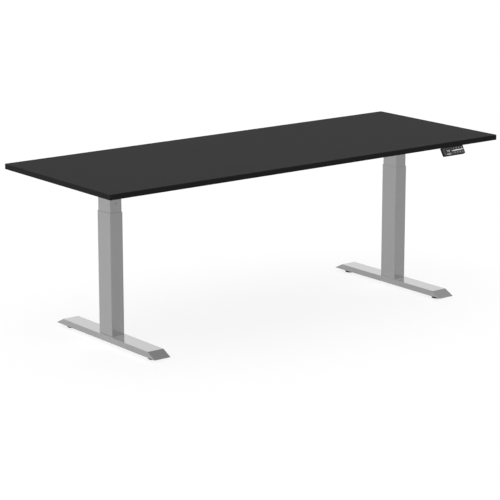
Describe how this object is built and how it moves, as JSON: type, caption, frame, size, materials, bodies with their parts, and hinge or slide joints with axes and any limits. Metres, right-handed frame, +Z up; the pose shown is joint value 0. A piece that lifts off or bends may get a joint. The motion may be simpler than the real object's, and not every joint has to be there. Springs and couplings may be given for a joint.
{
  "type": "height adjustable standing desk",
  "caption": "Rectangular desk with a dark board top on grey motorised telescoping columns, flat feet with levellers and a handset under the front edge that raises and lowers it.",
  "frame": {"origin": "on the floor, under the middle of the desktop", "axes": "+Z up; +X along the desktop to the user's right; the user sits on the -Y side"},
  "size_m": [2, 0.7627, 0.7],
  "materials": {
    "desktop_board": "matte",
    "edge_band": "matte",
    "frame_paint": "satin",
    "glide_plastic": "satin",
    "steel": "satin",
    "fastener_steel": "satin",
    "cast_alloy": "satin",
    "motor_can": "satin",
    "pad_plastic": "satin",
    "box_plastic": "matte",
    "handset_plastic": "satin",
    "fascia_plastic": "gloss",
    "display_window": "gloss",
    "key_plastic": "satin",
    "circuit_board": "satin"
  },
  "bodies": {
    "left_base": {"left_foot": "frame_paint", "left_base_plate": "steel", "left_base_bolts": "fastener_steel", "left_outer_tube": "frame_paint", "left_outer_glide": "glide_plastic", "left_fixed_screw": "steel"},
    "left_mid": {"left_mid_tube": "frame_paint", "left_mid_glides": "glide_plastic", "left_mid_carrier": "cast_alloy"},
    "left_screw": {"left_hollow_screw": "steel"},
    "left_shaft": {"left_drive_shaft": "steel"},
    "left_front_pad": {"left_front_leveller": "pad_plastic"},
    "left_back_pad": {"left_back_leveller": "pad_plastic"},
    "right_base": {"right_foot": "frame_paint", "right_base_plate": "steel", "right_base_bolts": "fastener_steel", "right_outer_tube": "frame_paint", "right_outer_glide": "glide_plastic", "right_fixed_screw": "steel"},
    "right_mid": {"right_mid_tube": "frame_paint", "right_mid_glides": "glide_plastic", "right_mid_carrier": "cast_alloy"},
    "right_screw": {"right_hollow_screw": "steel"},
    "right_shaft": {"right_drive_shaft": "steel"},
    "right_front_pad": {"right_front_leveller": "pad_plastic"},
    "right_back_pad": {"right_back_leveller": "pad_plastic"},
    "top": {"desktop": "desktop_board", "edge_band": "edge_band", "front_rail": "frame_paint", "back_rail": "frame_paint", "frame_bolts": "fastener_steel", "desktop_screws": "fastener_steel", "control_box": "box_plastic", "control_lid": "box_plastic", "handset_housing": "handset_plastic", "handset_fascia": "fascia_plastic", "handset_display": "display_window", "handset_board": "circuit_board", "left_motor_channel": "frame_paint", "left_side_bracket": "frame_paint", "left_gearbox": "cast_alloy", "left_motor": "motor_can", "left_inner_tube": "frame_paint", "left_inner_glide": "glide_plastic", "left_drive_nut": "glide_plastic", "right_motor_channel": "frame_paint", "right_side_bracket": "frame_paint", "right_gearbox": "cast_alloy", "right_motor": "motor_can", "right_inner_tube": "frame_paint", "right_inner_glide": "glide_plastic", "right_drive_nut": "glide_plastic"},
    "key_one": {"key_one": "key_plastic"},
    "key_two": {"key_two": "key_plastic"},
    "key_three": {"key_three": "key_plastic"},
    "key_four": {"key_four": "key_plastic"},
    "key_up": {"key_up": "key_plastic"},
    "key_down": {"key_down": "key_plastic"},
    "key_memory": {"key_memory": "key_plastic"},
    "key_reminder": {"key_reminder": "key_plastic"}
  },
  "joints": [
    {"name": "lift", "type": "slide", "parent": "left_base", "child": "top", "axis": [0, 0, 1], "range_m": [-0.04, 0.6]},
    {"name": "left_mid_slide", "type": "slide", "parent": "left_base", "child": "left_mid", "axis": [0, 0, 1], "range_m": [-0.02, 0.3]},
    {"name": "right_base_slide", "type": "slide", "parent": "top", "child": "right_base", "axis": [0, 0, 1], "range_m": [-0.6, 0.04]},
    {"name": "right_mid_slide", "type": "slide", "parent": "top", "child": "right_mid", "axis": [0, 0, 1], "range_m": [-0.3, 0.02]},
    {"name": "left_shaft_turn", "type": "hinge", "parent": "top", "child": "left_shaft", "pos_m": [-0.75, 0, 0.64], "axis": [0, 0, 1], "continuous": true},
    {"name": "left_screw_turn", "type": "hinge", "parent": "left_mid", "child": "left_screw", "pos_m": [-0.75, 0, 0.09], "axis": [0, 0, 1], "continuous": true},
    {"name": "left_front_level", "type": "slide", "parent": "left_base", "child": "left_front_pad", "axis": [0, 0, 1], "range_m": [-0.01, 0]},
    {"name": "left_back_level", "type": "slide", "parent": "left_base", "child": "left_back_pad", "axis": [0, 0, 1], "range_m": [-0.01, 0]},
    {"name": "right_shaft_turn", "type": "hinge", "parent": "top", "child": "right_shaft", "pos_m": [0.75, 0, 0.64], "axis": [0, 0, 1], "continuous": true},
    {"name": "right_screw_turn", "type": "hinge", "parent": "right_mid", "child": "right_screw", "pos_m": [0.75, 0, 0.09], "axis": [0, 0, 1], "continuous": true},
    {"name": "right_front_level", "type": "slide", "parent": "right_base", "child": "right_front_pad", "axis": [0, 0, 1], "range_m": [-0.01, 0]},
    {"name": "right_back_level", "type": "slide", "parent": "right_base", "child": "right_back_pad", "axis": [0, 0, 1], "range_m": [-0.01, 0]},
    {"name": "key_one_press", "type": "slide", "parent": "top", "child": "key_one", "axis": [0, 0.848, -0.5299], "range_m": [0, 0.0006], "stiffness_N_per_m": 2500, "springref_m": -0.0004},
    {"name": "key_two_press", "type": "slide", "parent": "top", "child": "key_two", "axis": [0, 0.848, -0.5299], "range_m": [0, 0.0006], "stiffness_N_per_m": 2500, "springref_m": -0.0004},
    {"name": "key_three_press", "type": "slide", "parent": "top", "child": "key_three", "axis": [0, 0.848, -0.5299], "range_m": [0, 0.0006], "stiffness_N_per_m": 2500, "springref_m": -0.0004},
    {"name": "key_four_press", "type": "slide", "parent": "top", "child": "key_four", "axis": [0, 0.848, -0.5299], "range_m": [0, 0.0006], "stiffness_N_per_m": 2500, "springref_m": -0.0004},
    {"name": "key_up_press", "type": "slide", "parent": "top", "child": "key_up", "axis": [0, 0.848, -0.5299], "range_m": [0, 0.0006], "stiffness_N_per_m": 2500, "springref_m": -0.0004},
    {"name": "key_down_press", "type": "slide", "parent": "top", "child": "key_down", "axis": [0, 0.848, -0.5299], "range_m": [0, 0.0006], "stiffness_N_per_m": 2500, "springref_m": -0.0004},
    {"name": "key_memory_press", "type": "slide", "parent": "top", "child": "key_memory", "axis": [0, 0.848, -0.5299], "range_m": [0, 0.0006], "stiffness_N_per_m": 2500, "springref_m": -0.0004},
    {"name": "key_reminder_press", "type": "slide", "parent": "top", "child": "key_reminder", "axis": [0, 0.848, -0.5299], "range_m": [0, 0.0006], "stiffness_N_per_m": 2500, "springref_m": -0.0004}
  ],
  "couplings": [
    {"joint": "left_mid_slide", "follows": "lift", "ratio": 0.5},
    {"joint": "right_base_slide", "follows": "lift", "ratio": -1},
    {"joint": "right_mid_slide", "follows": "lift", "ratio": -0.5},
    {"joint": "left_shaft_turn", "follows": "lift", "rad_per_m": 628.32},
    {"joint": "left_screw_turn", "follows": "lift", "rad_per_m": 628.32},
    {"joint": "right_shaft_turn", "follows": "lift", "rad_per_m": 628.32},
    {"joint": "right_screw_turn", "follows": "lift", "rad_per_m": 628.32}
  ]
}
